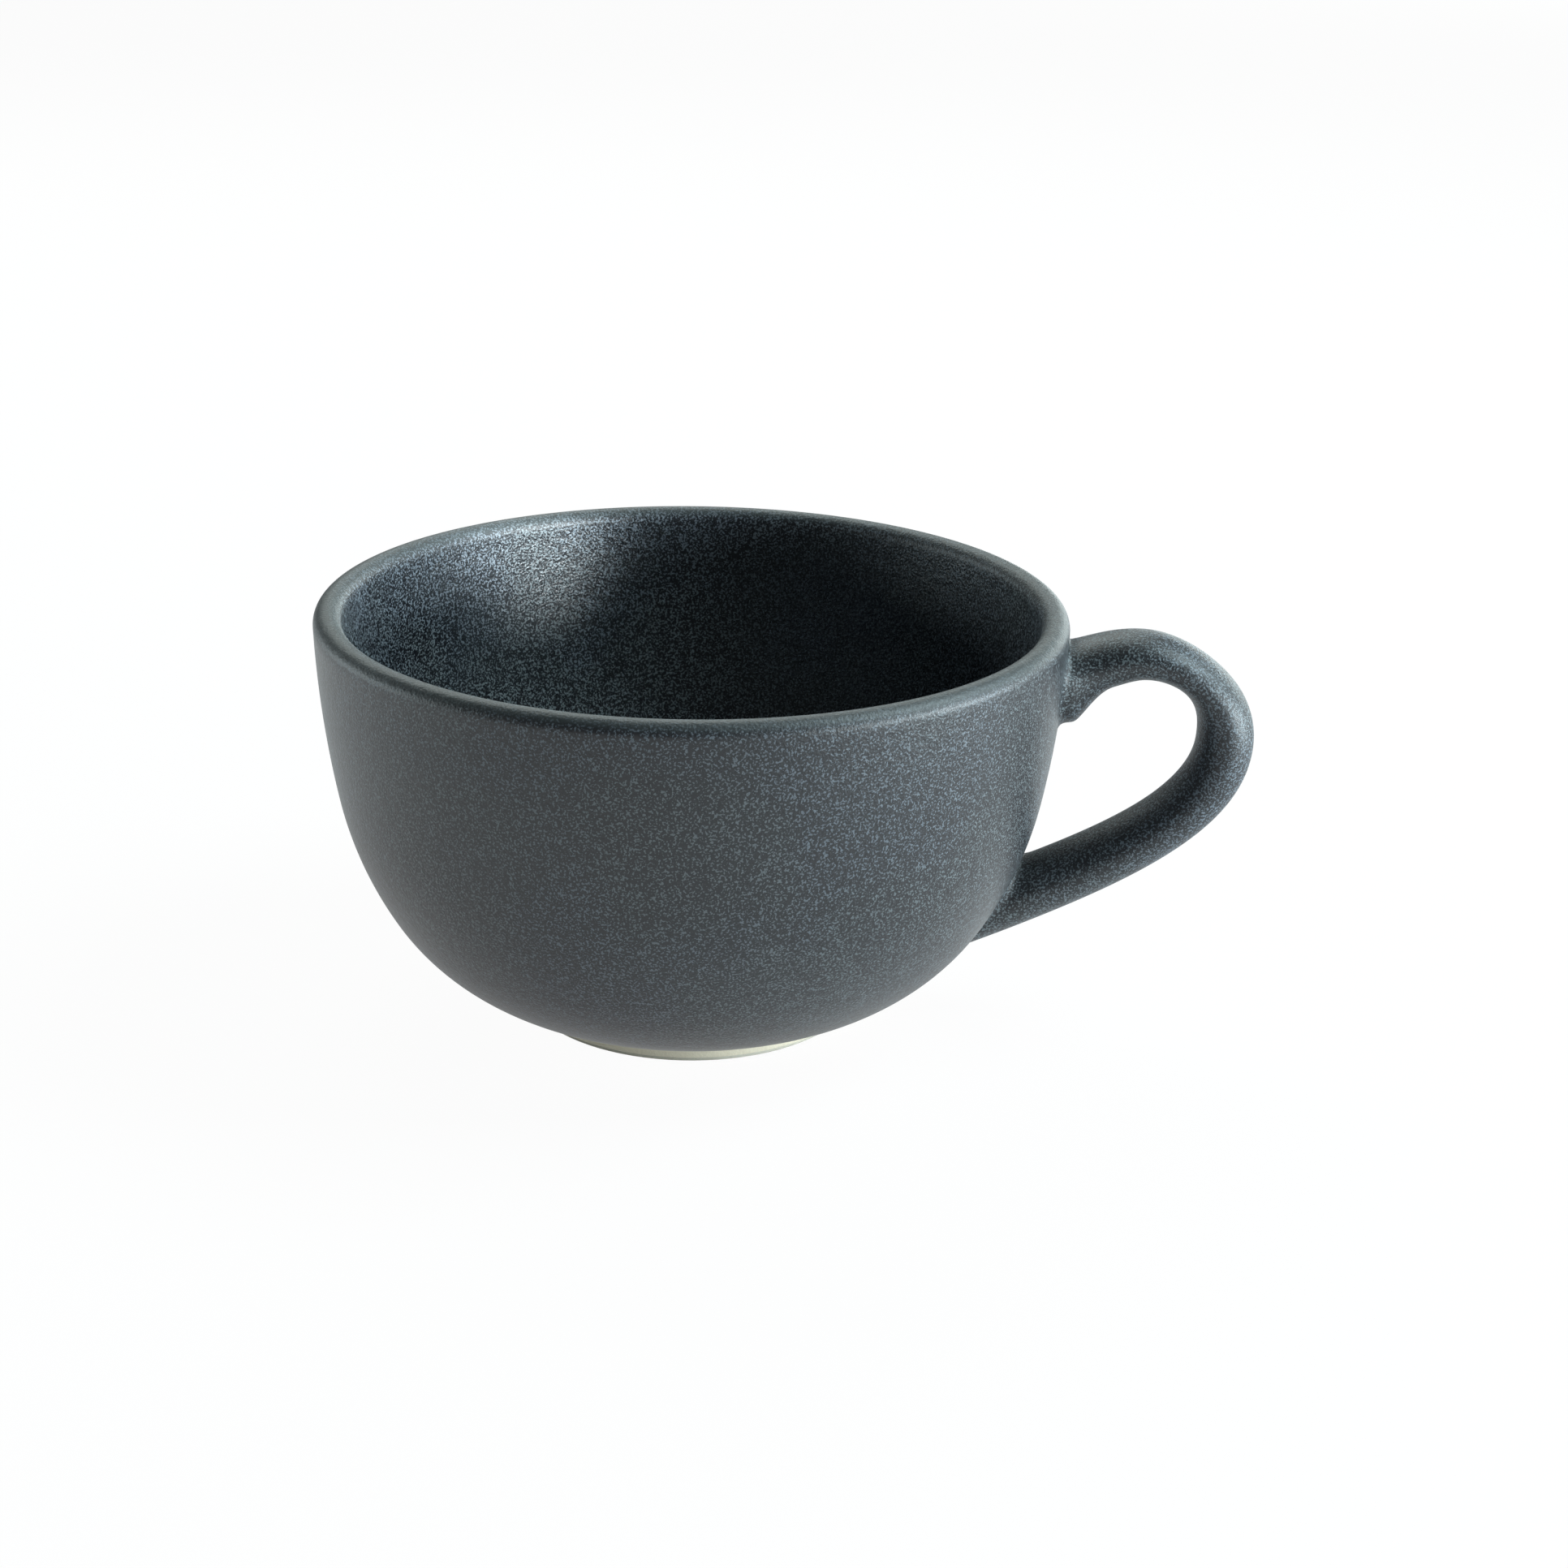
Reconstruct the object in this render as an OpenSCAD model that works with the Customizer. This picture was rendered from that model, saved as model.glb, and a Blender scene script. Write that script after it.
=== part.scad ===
// Stoneware coffee cup: a turned bowl on a foot ring, a cast loop handle stuck on
// with slip at both ends, and the coats of glaze over them.
// The origin is on the bowl's axis at the plane that it stands on. The handle points along +X.

/* [Bowl] */
// Diameter over the glazed rim
rim_d = 100; // [94:1:106]
// Height from the standing plane to the top of the rim
cup_h = 56.8; // [54:0.2:60]
// Thickness of the glazed wall, and diameter of the round rim
wall_t = 3.7; // [3.2:0.1:4.6]
// Thickness of the floor from the recess under the foot to the inside, glaze included
floor_t = 4.4; // [3.6:0.1:5.6]
// Radius of the wall's middle curve
middle_curve_r = 49; // [44:0.5:54]
// Radius of the wall's lower curve, which turns in to the foot
belly_curve_r = 29.4; // [26:0.2:33]
// Height at which the wall's lower curve would lie level
belly_z = 1.6; // [1.2:0.1:2.4]
// Lean of the wall at the rim, in degrees from upright
rim_angle = 1.3; // [0.8:0.1:2]
// Lean at which the upper curve hands over to the middle one
middle_angle = 10.6; // [9:0.1:12]
// Lean at which the middle curve hands over to the lower one
lower_angle = 30.7; // [28:0.1:34]

/* [Foot] */
// Diameter over the glazed side of the foot ring
foot_d = 47.2; // [44:0.2:50]
// Width of the foot ring between its glazed sides
foot_w = 4; // [3.4:0.1:5]
// Depth of the glazed recess inside the foot ring
recess_h = 2.4; // [2:0.1:3]
// Radius of the round corner inside the recess
recess_corner_r = 1; // [0.6:0.1:1.2]
// Radius of the hollow where the foot ring meets the bowl
foot_fillet_r = 1.5; // [1:0.1:2]
// Radius of the clay edge on both sides of the standing ring
foot_edge_r = 0.7; // [0.4:0.1:0.8]
// Height up to which the foot ring is wiped bare of glaze
bare_h = 0.8; // [0.8:0.1:1]

/* [Handle] */
// Distance from the bowl's axis to the handle's outermost point
handle_reach = 75.2; // [72:0.5:80]
// Depth of the handle's outermost point below the rim
reach_drop = 16.1; // [14:0.1:18]
// Depth of the handle's top below the rim
handle_drop = 1.9; // [1:0.1:3]
// Distance of the handle's top outwards from the rim
top_out = 10; // [8:0.1:12]
// Width of the handle across the bowl
handle_w = 10.8; // [9:0.2:13]
// Thickness of the handle's lower arm
handle_t = 7.7; // [6.6:0.1:9]
// How far the underside of the upper root hangs below the arm, where it spreads onto the wall
root_flare = 4.1; // [3.4:0.1:4.6]
// Length of the arm over which the upper root spreads
root_flare_run = 5.7; // [4.8:0.1:6.4]
// Depth below the rim at which the centre of the upper arm meets the wall
upper_root_drop = 7.5; // [7:0.1:8.4]
// Angle at which the upper arm climbs from the wall
upper_rise_angle = 8; // [4:1:16]
// Height on the wall at which the centre of the lower arm meets it
lower_root_z = 15.3; // [14.6:0.1:17]
// Angle at which the lower arm climbs from the wall
lower_rise_angle = 25; // [16:1:28]
// Strength of the curve as it leaves the upper root
upper_pull = 2.9; // [2:0.1:4]
// Strength of the curve as it comes to the handle's top
top_pull_in = 3.5; // [3:0.1:5]
// Strength of the curve as it leaves the handle's top
top_pull_out = 4.6; // [3.6:0.1:6]
// Strength of the curve as it comes to the outermost point
reach_pull_up = 7.4; // [6:0.1:9]
// Strength of the curve as it leaves the outermost point
reach_pull_down = 10.6; // [9:0.1:13]
// Strength of the curve as it comes to the lower root
lower_pull = 17.5; // [14:0.1:19]

/* [Slip and glaze] */
// Thickness of the coat of glaze
glaze_t = 0.35; // [0.3:0.01:0.45]
// Thickness of the layer of slip between handle and wall
slip_t = 0.5; // [0.4:0.05:0.8]
// Size of the bead of slip that is sponged smooth round each root
bead_r = 1.1; // [0.8:0.1:1.4]

/* [Hidden] */

quarter_turn = 90;
half_turn = 180;

// Steps in each curve of the bowl's outline, and round the bowl
arc_steps = 12;
round_steps = 144;
// Points round the handle's section
ring_sides = 18;
// Handle thickness at even stations from the upper root to the lower one, as shares of handle_t
thickness_shares = [0.91, 0.92, 0.81, 0.73, 0.99, 1, 1.1];
// Rings in the handle's three curves, and in the straight run into the wall at each end
upper_run_rings = 7;
upper_rings = 11;
bend_rings = 12;
lower_rings = 38;
lower_run_rings = 14;
// How strongly the rings draw together towards each root: 1 is evenly
ring_draw = 1.7;
// How much wider the handle gets at the upper root, as a share of its flare there
flare_width_share = 0.7;
// How much of the flare's run the toe takes to round over, as a share of it
toe_share = 0.15;
// How far the handle's form runs on inside the wall, as shares of its thickness
upper_run_share = 0.5;
lower_run_share = 1.5;
// How hollow the bead of slip is: 0 is a plain chamfer
bead_hollow_share = 0.6;
// Size of the bead on the outer side of the loop, where it is wiped down, as a share of bead_r
bead_outer_share = 0.35;
// How far the bead's form dips below the handle's skin past its edge, as a share of its size
bead_dip_share = 0.3;
// How far along the handle each bead's form goes, in rings of its curve
upper_bead_rings = 6;
lower_bead_rings = 17;

rim_r = rim_d / 2;
foot_r = foot_d / 2;
recess_r = foot_r - foot_w;
floor_z = recess_h + floor_t;
clay = -glaze_t;

// Direction that points outwards, down by angle a
function down(a) = [cos(a), -sin(a)];
function arc(c, r, from, to, first = 0) =
    [for (i = [first:arc_steps]) c + r * down(from + (to - from) * i / arc_steps)];
function reversed(list) = [for (i = [len(list) - 1:-1:0]) list[i]];
function above(z, list) = [for (p = list) if (p.y > z) p];
function mix(a, b, t) = a + (b - a) * t;

// The wall's outline is three curves that run on into each other, with the centres below.
// off is the distance outwards from the glazed outside, bottom is where the lowest curve lies level.
rim_c = [rim_r - wall_t / 2, cup_h - wall_t / 2];
// The upper curve is nearly straight. Its radius brings the other two up to the rim.
upper_curve_r = (rim_c.y - belly_z - belly_curve_r - wall_t / 2 * sin(rim_angle)
    + middle_curve_r * sin(middle_angle) - (middle_curve_r - belly_curve_r) * sin(lower_angle))
    / (sin(middle_angle) - sin(rim_angle));
upper_c = rim_c - (upper_curve_r - wall_t / 2) * down(rim_angle);
middle_c = upper_c + (upper_curve_r - middle_curve_r) * down(middle_angle);
function lower_r(off, bottom) =
    (middle_c.y - (middle_curve_r + off) * sin(lower_angle) - bottom) / (1 - sin(lower_angle));
function lower_c(off, bottom) =
    middle_c + (middle_curve_r + off - lower_r(off, bottom)) * down(lower_angle);
function wall_line(off, bottom, end) = concat(
    arc(upper_c, upper_curve_r + off, rim_angle, middle_angle),
    arc(middle_c, middle_curve_r + off, middle_angle, lower_angle, 1),
    arc(lower_c(off, bottom), lower_r(off, bottom), lower_angle, end, 1));

// The hollow between bowl and foot touches the wall's lower curve and the foot's side
belly_c = lower_c(0, belly_z);
fillet_x = foot_r + foot_fillet_r;
fillet_lean = acos((fillet_x - belly_c.x) / (belly_curve_r + foot_fillet_r));
fillet_c = [fillet_x, belly_c.y - (belly_curve_r + foot_fillet_r) * sin(fillet_lean)];
function outside_line(off) = concat(
    wall_line(off, belly_z - off, fillet_lean),
    [for (i = [1:arc_steps])
        fillet_c - (foot_fillet_r - off) * down(fillet_lean * (1 - i / arc_steps))]);
function inside_line(off) = wall_line(off - wall_t, floor_z - off, quarter_turn);
// The round rim, from angle a to angle b as seen from its centre
function rim_line(off, a, b) =
    [for (i = [1:arc_steps - 1]) rim_c + (wall_t / 2 + off) * down(mix(a, b, i / arc_steps))];
// The recess under the foot, from its side to its middle
function recess_line(off, low) = concat(
    [[recess_r + off, low]],
    [for (i = [0:arc_steps])
        [recess_r, recess_h] - recess_corner_r * [1, 1]
            + (recess_corner_r + off) * down(-quarter_turn * i / arc_steps)],
    [[0, recess_h + off]]);
// A round edge on the clay of the foot, about centre c, from angle a to angle b
function edge_line(c, a, b) =
    [for (i = [0:arc_steps]) c + foot_edge_r * down(mix(a, b, i / arc_steps))];

module turned(points) {
    rotate_extrude($fn = round_steps) polygon(points);
}

// All that the bowl's outside at distance off encloses, without its hollow
module bowl_form(off) {
    turned(concat(
        [[0, cup_h + off], [rim_c.x, cup_h + off]],
        rim_line(off, -quarter_turn, rim_angle),
        outside_line(off),
        [[foot_r + off, foot_edge_r], [0, foot_edge_r]]));
}

// The wall's curve that faces a point in the bowl's section: its centre and its glazed radius
function lean_from(c, p) = atan2(c.y - p.y, p.x - c.x);
function facing(p) =
    lean_from(upper_c, p) < middle_angle ? [upper_c, upper_curve_r]
    : lean_from(middle_c, p) < lower_angle ? [middle_c, middle_curve_r] : [belly_c, belly_curve_r];
// Radius of the glazed outside at height z
function wall_x(z) = let (
    upper = upper_c.x + sqrt(pow(upper_curve_r, 2) - pow(upper_c.y - z, 2)),
    middle = middle_c.x + sqrt(pow(middle_curve_r, 2) - pow(middle_c.y - z, 2)),
    belly = belly_c.x + sqrt(pow(belly_curve_r, 2) - pow(belly_c.y - z, 2)))
    z > upper_c.y - upper_curve_r * sin(middle_angle) ? upper
    : z > middle_c.y - middle_curve_r * sin(lower_angle) ? middle : belly;

// The handle's centre line in the XZ plane: three curves between its roots, its top and its reach
function up(a) = [cos(a), sin(a)];
// A smooth curve through the shares, which passes each with the slope between its neighbours
function share_at(u) = let (
    last = len(thickness_shares) - 1,
    s = min(max(u, 0), 3) * last / 3,
    k = min(floor(s), last - 1),
    t = s - k,
    a = thickness_shares[k],
    b = thickness_shares[k + 1],
    slope_a = k > 0 ? (b - thickness_shares[k - 1]) / 2 : b - a,
    slope_b = k < last - 1 ? (thickness_shares[k + 2] - a) / 2 : b - a)
    mix(a, b, t * t * (3 - 2 * t)) + t * (1 - t) * (slope_a * (1 - t) - slope_b * t);
upper_root_z = cup_h - upper_root_drop;
upper_root = [wall_x(upper_root_z), upper_root_z];
handle_peak = [rim_r + top_out, cup_h - handle_drop - handle_t * share_at(1) / 2];
handle_end = [handle_reach - handle_t * share_at(2) / 2, cup_h - reach_drop];
lower_root = [wall_x(lower_root_z), lower_root_z];
upper_curve = [upper_root, upper_root + upper_pull * up(upper_rise_angle),
    handle_peak - [top_pull_in, 0], handle_peak];
bend_curve = [handle_peak, handle_peak + [top_pull_out, 0],
    handle_end + [0, reach_pull_up], handle_end];
lower_curve = [handle_end, handle_end - [0, reach_pull_down],
    lower_root + lower_pull * up(lower_rise_angle), lower_root];
function curve_at(p, t) =
    pow(1 - t, 3) * p[0] + 3 * pow(1 - t, 2) * t * p[1] + 3 * (1 - t) * t * t * p[2] + pow(t, 3) * p[3];
function curve_way(p, t) =
    pow(1 - t, 2) * (p[1] - p[0]) + 2 * (1 - t) * t * (p[2] - p[1]) + t * t * (p[3] - p[2]);
// The flare grows towards the wall, and rounds over at its toe
function flare_at(place) = let (t = min(norm(place - upper_root) / root_flare_run, 1))
    root_flare * (t < toe_share ? (1 - toe_share) * (1 - t * t / toe_share) : pow(1 - t, 2));
// A station is [place, way, thickness, width, flare on the inner side of the loop]
function station_at(place, way, u, flare) = [place, way / norm(way),
    handle_t * share_at(u), handle_w + flare * flare_width_share, flare];
function station(p, t, u) =
    station_at(curve_at(p, t), curve_way(p, t), u + t, flare_at(curve_at(p, t)));
// The run into the wall keeps the root's size
upper_run = handle_t * upper_run_share;
lower_run = handle_t * lower_run_share;
stations = concat(
    [for (i = [0:upper_run_rings - 1])
        station_at(upper_root - upper_run * (1 - i / upper_run_rings) * up(upper_rise_angle),
            up(upper_rise_angle), 0, flare_at(upper_root))],
    [for (i = [0:upper_rings - 1]) station(upper_curve, pow(i / upper_rings, ring_draw), 0)],
    [for (i = [0:bend_rings - 1]) station(bend_curve, i / bend_rings, 1)],
    [for (i = [0:lower_rings])
        station(lower_curve, 1 - pow(1 - i / lower_rings, ring_draw), 2)],
    [for (i = [1:lower_run_rings])
        station_at(lower_root - lower_run * i / lower_run_rings * up(lower_rise_angle),
            -up(lower_rise_angle), 3, 0)]);

// A bead of slip of size r stands out from the handle by r at the wall and meets its skin r away.
// Past that line its form dips under the skin by the share dip, so that the two cross cleanly.
function bead(r, gap, dip) = let (u = min(1 - gap / r, 1))
    r * max(u > 0 ? mix(u, u * u, bead_hollow_share) : u * (1 - bead_hollow_share), -dip);

// One ring of points round a station: an oval of the handle's width and thickness, off outside
// the glaze, and on it the bead where the ring is near the wall, unless dip is undef.
// The oval's inner half is as much deeper as the flare.
// Where the arm slants to the wall the bead stands out less, so that it is as wide on the wall.
function ring(s, off, dip) =
    [for (j = [0:ring_sides - 1]) let (
        a = 360 * j / ring_sides,
        side = [-s[1].y, s[1].x],
        across = s[2] / 2 + off + (cos(a) < 0 ? s[4] : 0),
        along = s[3] / 2 + off,
        skin = [across * cos(a), along * sin(a)],
        normal = [cos(a) / across, sin(a) / along],
        out = normal / norm(normal),
        foot = s[0] + side * skin.x,
        in_section = [norm([foot.x, skin.y]), foot.y],
        wall = facing(in_section),
        from_wall = in_section - wall[0],
        slant = norm(cross([side.x * out.x, out.y, side.y * out.x],
            [from_wall.x * foot.x, from_wall.x * skin.y, from_wall.y * in_section.x]))
            / norm(from_wall) / in_section.x,
        size = bead_r * mix(1, bead_outer_share, max(cos(a), 0)),
        gap = norm(from_wall) - wall[1] - off,
        at = skin + (is_undef(dip) ? 0 : slant * bead(size, gap, dip)) * out,
        place = s[0] + side * at.x)
        [place.x, at.y, place.y]];
function sides_of(first, rings) = [for (i = [0:rings - 2]) for (j = [0:ring_sides - 1]) let (
    k = (j + 1) % ring_sides,
    here = first + i * ring_sides,
    next = here + ring_sides)
    each [[here + j, here + k, next + k], [here + j, next + k, next + j]]];
function flipped(faces) = [for (f = faces) reversed(f)];
module sweep(list, off, dip) {
    last = (len(list) - 1) * ring_sides;
    near = [for (j = [ring_sides - 1:-1:0]) j];
    far = [for (j = [0:ring_sides - 1]) last + j];
    polyhedron([for (s = list) each ring(s, off, dip)],
        concat([near], sides_of(0, len(list)), [far]));
}
// The same form as a coat, from distance off_in to distance 0, open at both ends
module coat_sweep(list, off_in, dip) {
    count = len(list) * ring_sides;
    last = count - ring_sides;
    near = [for (j = [0:ring_sides - 1]) let (k = (j + 1) % ring_sides)
        each [[j, count + k, k], [j, count + j, count + k]]];
    far = [for (j = [0:ring_sides - 1]) let (k = (j + 1) % ring_sides)
        each [[last + j, last + k, last + count + k], [last + j, last + count + k, last + count + j]]];
    polyhedron([for (off = [0, off_in]) for (s = list) each ring(s, off, dip)],
        concat(sides_of(0, len(list)), flipped(sides_of(count, len(list))), near, far));
}
function first_of(list, count) = [for (i = [0:count - 1]) list[i]];
function last_of(list, count) = [for (i = [len(list) - count:len(list) - 1]) list[i]];
upper_count = upper_run_rings + upper_bead_rings;
lower_count = lower_run_rings + lower_bead_rings;

// The clay handle, or the stretch of it in list, stops short of the clay wall by the layer of slip
module clay_handle(list) {
    difference() {
        sweep(list, clay);
        bowl_form(clay + slip_t);
    }
}

module slip_joint(list, handle_list) {
    difference() {
        sweep(list, clay, bead_dip_share);
        bowl_form(clay);
        clay_handle(handle_list);
    }
}

module bowl() {
    outer_edge = [foot_r + clay - foot_edge_r, foot_edge_r];
    inner_edge = [recess_r - clay + foot_edge_r, foot_edge_r];
    color([0.72, 0.70, 0.64]) turned(concat(
        [[0, floor_z + clay]],
        reversed(inside_line(-clay)),
        rim_line(clay, rim_angle - half_turn, rim_angle),
        above(foot_edge_r, outside_line(clay)),
        edge_line(outer_edge, 0, quarter_turn),
        edge_line(inner_edge, quarter_turn, half_turn),
        recess_line(-clay, bare_h)));
}

module handle() {
    color([0.72, 0.70, 0.64]) clay_handle(stations);
}

module upper_slip_joint() {
    color([0.76, 0.74, 0.68])
        slip_joint(first_of(stations, upper_count), first_of(stations, upper_count + 1));
}

module lower_slip_joint() {
    color([0.76, 0.74, 0.68])
        slip_joint(last_of(stations, lower_count), last_of(stations, lower_count + 1));
}

module inner_glaze() {
    color([0.13, 0.15, 0.17]) turned(concat(
        [[0, floor_z]],
        reversed(inside_line(0)),
        rim_line(0, rim_angle - half_turn, -quarter_turn),
        [rim_c + [0, wall_t / 2], rim_c + [0, wall_t / 2 + clay]],
        reversed(rim_line(clay, rim_angle - half_turn, -quarter_turn)),
        inside_line(-clay),
        [[0, floor_z + clay]]));
}

module outer_glaze() {
    color([0.20, 0.23, 0.26]) difference() {
        turned(concat(
            [rim_c + [0, wall_t / 2]],
            rim_line(0, -quarter_turn, rim_angle),
            above(bare_h, outside_line(0)),
            [[foot_r, bare_h], [foot_r + clay, bare_h]],
            reversed(above(bare_h, outside_line(clay))),
            reversed(rim_line(clay, -quarter_turn, rim_angle)),
            [rim_c + [0, wall_t / 2 + clay]]));
        sweep(first_of(stations, upper_count), clay, bead_dip_share);
        sweep(last_of(stations, lower_count), clay, bead_dip_share);
    }
}

module handle_glaze() {
    color([0.20, 0.23, 0.26]) difference() {
        coat_sweep(stations, clay, 0);
        bowl_form(0);
    }
}

module foot_glaze() {
    color([0.20, 0.23, 0.26]) turned(concat(
        recess_line(0, bare_h),
        reversed(recess_line(-clay, bare_h))));
}

bowl();
handle();
upper_slip_joint();
lower_slip_joint();
inner_glaze();
outer_glaze();
handle_glaze();
foot_glaze();
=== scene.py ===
# %% [markdown]
# # A stoneware coffee cup, dressed for a studio photograph
# The solids of the cup come from its construction model: a clay bowl, a clay handle, the slip that
# sticks them together, and thin coats of glaze. This file gives them their looks. It makes the
# glazed skins again as fine, smooth surfaces, because light on a satin glaze shows every facet,
# then it mixes the glaze, the bare clay, the studio and the camera.

# %% Load the solids
import bpy
import bmesh
import math
from mathutils import Matrix, Vector
from mathutils.geometry import interpolate_bezier


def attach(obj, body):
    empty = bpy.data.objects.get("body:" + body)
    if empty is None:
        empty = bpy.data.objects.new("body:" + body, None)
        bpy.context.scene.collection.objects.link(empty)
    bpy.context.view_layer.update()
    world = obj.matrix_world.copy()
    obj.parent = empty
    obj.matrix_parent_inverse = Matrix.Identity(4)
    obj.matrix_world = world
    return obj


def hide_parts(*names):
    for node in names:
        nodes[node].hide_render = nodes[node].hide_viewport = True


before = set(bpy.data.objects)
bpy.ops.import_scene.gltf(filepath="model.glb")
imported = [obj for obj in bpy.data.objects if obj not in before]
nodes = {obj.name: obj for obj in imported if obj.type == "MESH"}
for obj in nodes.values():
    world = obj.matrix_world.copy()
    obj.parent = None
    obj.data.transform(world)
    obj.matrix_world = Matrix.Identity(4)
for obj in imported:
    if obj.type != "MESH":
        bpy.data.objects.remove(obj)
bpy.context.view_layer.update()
print("solids:", sorted(nodes))

# %% [markdown]
# ## Sizes
# A potter works from a few measures, and so does this file. They are in millimetres, as on the
# drawing of the cup, and one factor turns them into Blender's metres. The wall's outline is three
# arcs that run on into each other: nearly straight under the rim, then rounder, then the belly that
# turns in to the foot. Each arc needs only a centre, a radius and the leans where it starts and ends.

# %% Measures of the bowl
MM = 0.001
RIM_R, CUP_H, WALL_T, FLOOR_Z = 50.0, 56.8, 3.7, 6.8
MIDDLE_R, BELLY_R, BELLY_Z = 49.0, 29.4, 1.6
RIM_LEAN, MIDDLE_LEAN, LOWER_LEAN = 1.3, 10.6, 30.7
FOOT_R, FOOT_W, FOOT_FILLET = 23.6, 4.0, 1.5
RECESS_H, RECESS_CORNER = 2.4, 1.0
GLAZE_T, BARE_H = 0.35, 0.8


def down(lean):
    """Direction in the cup's section that points outwards and down by that angle."""
    return Vector((math.cos(math.radians(lean)), 0, -math.sin(math.radians(lean))))


rim_c = Vector((RIM_R - WALL_T / 2, 0, CUP_H - WALL_T / 2))
UPPER_R = (rim_c.z - BELLY_Z - BELLY_R + WALL_T / 2 * down(RIM_LEAN).z - MIDDLE_R * down(MIDDLE_LEAN).z
           + (MIDDLE_R - BELLY_R) * down(LOWER_LEAN).z) / (down(RIM_LEAN).z - down(MIDDLE_LEAN).z)
upper_c = rim_c - (UPPER_R - WALL_T / 2) * down(RIM_LEAN)
middle_c = upper_c + (UPPER_R - MIDDLE_R) * down(MIDDLE_LEAN)


def lowest_arc(inset, bottom):
    """Centre and radius of the arc that runs on from the middle one and lies level at bottom."""
    s = math.sin(math.radians(LOWER_LEAN))
    r = (middle_c.z - (MIDDLE_R - inset) * s - bottom) / (1 - s)
    return middle_c + (MIDDLE_R - inset - r) * down(LOWER_LEAN), r


belly_c, belly_r = lowest_arc(0, BELLY_Z)
fillet_x = FOOT_R + FOOT_FILLET
fillet_lean = math.degrees(math.acos((fillet_x - belly_c.x) / (belly_r + FOOT_FILLET)))
fillet_c = Vector((fillet_x, 0, belly_c.z - (belly_r + FOOT_FILLET) * math.sin(math.radians(fillet_lean))))
print("wall radii %.1f, %.1f, %.1f, foot hollow at height %.2f" % (UPPER_R, MIDDLE_R, belly_r, fillet_c.z))

# %% [markdown]
# ## Drawing with arcs
# An outline could be typed in as a long list of points, but a small drawing tool is better: it keeps
# one pencil point, and each stroke moves it. The spin operator turns the last point about a centre
# and leaves an edge at every step, which is an arc. A straight stroke is an extruded point. When the
# outline is done, the same operator spins all of it about the cup's axis, as the wheel does.

# %% Pencil strokes and the wheel
def start(x, z):
    bm = bmesh.new()
    return bm, bm.verts.new((x, 0, z))


def line_to(bm, pen, x, z):
    new = bmesh.ops.extrude_vert_indiv(bm, verts=[pen])["verts"][0]
    new.co = (x, 0, z)
    return new


def arc_about(bm, pen, centre, turn, steps):
    """Turns the pencil point about centre by that many degrees, downwards on the right-hand side."""
    spun = bmesh.ops.spin(bm, geom=[pen], cent=centre, axis=(0, 1, 0),
                          angle=math.radians(turn), steps=steps, use_duplicate=False)
    return [g for g in spun["geom_last"] if isinstance(g, bmesh.types.BMVert)][0]


def throw(bm, name, steps=288):
    """Spins the outline into a turned form and makes it an object in metres."""
    bmesh.ops.spin(bm, geom=bm.verts[:] + bm.edges[:], cent=(0, 0, 0), axis=(0, 0, 1),
                   angle=math.tau, steps=steps, use_merge=True)
    bmesh.ops.remove_doubles(bm, verts=bm.verts, dist=0.0004)
    return finished(bm, name)


def finished(bm, name):
    bmesh.ops.recalc_face_normals(bm, faces=bm.faces)
    bmesh.ops.scale(bm, vec=(MM, MM, MM), verts=bm.verts)
    open_edges = sum(1 for e in bm.edges if not e.is_manifold)
    mesh = bpy.data.meshes.new(name)
    for face in bm.faces:
        face.smooth = True
    volume = bm.calc_volume(signed=True) / MM ** 3
    bm.to_mesh(mesh)
    print("%s: %d faces, %d open edges, %.0f cubic mm" % (name, len(bm.faces), open_edges, volume))
    bm.free()
    piece = bpy.data.objects.new(name, mesh)
    bpy.context.scene.collection.objects.link(piece)
    return piece


# %% [markdown]
# ## The coat of glaze on the bowl
# On the real cup the coat is melted glass a third of a millimetre thick, poured inside and sprayed
# outside, and the two melt together on the rim. So one skin stands for both. It runs from the middle
# of the floor up the inside, over the round rim and down to the foot, where its lower edge draws
# itself round, as molten glass does. The way back, just under the surface, closes the skin.

# %% Glazed bowl
def inside_strokes(bm, pen, inset, bottom, way):
    """Up (way 1) or down (way -1) the inside of the wall, inset from the glazed outside."""
    c, r = lowest_arc(inset, bottom)
    strokes = [(c, 90 - LOWER_LEAN, 40), (middle_c, LOWER_LEAN - MIDDLE_LEAN, 20),
               (upper_c, MIDDLE_LEAN - RIM_LEAN, 24)]
    for centre, turn, steps in strokes[::way]:
        pen = arc_about(bm, pen, centre, -way * turn, steps)
    return pen


skin = GLAZE_T - 0.05
bm, pen = start(0, FLOOR_Z)
for share in (0.25, 0.5, 0.75, 1):
    pen = line_to(bm, pen, lowest_arc(WALL_T, FLOOR_Z)[0].x * share, FLOOR_Z)
pen = inside_strokes(bm, pen, WALL_T, FLOOR_Z, 1)
pen = arc_about(bm, pen, rim_c, 180, 36)
pen = arc_about(bm, pen, upper_c, MIDDLE_LEAN - RIM_LEAN, 24)
pen = arc_about(bm, pen, middle_c, LOWER_LEAN - MIDDLE_LEAN, 20)
pen = arc_about(bm, pen, belly_c, fillet_lean - LOWER_LEAN, 24)
pen = arc_about(bm, pen, fillet_c, -fillet_lean, 14)
edge_z = BARE_H + skin / 2
pen = line_to(bm, pen, FOOT_R, edge_z)
pen = arc_about(bm, pen, Vector((FOOT_R - skin / 2, 0, edge_z)), 180, 8)
pen = line_to(bm, pen, FOOT_R - skin, fillet_c.z)
pen = arc_about(bm, pen, fillet_c, fillet_lean, 8)
pen = arc_about(bm, pen, belly_c, LOWER_LEAN - fillet_lean, 12)
pen = arc_about(bm, pen, middle_c, MIDDLE_LEAN - LOWER_LEAN, 8)
pen = arc_about(bm, pen, upper_c, RIM_LEAN - MIDDLE_LEAN, 6)
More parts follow.
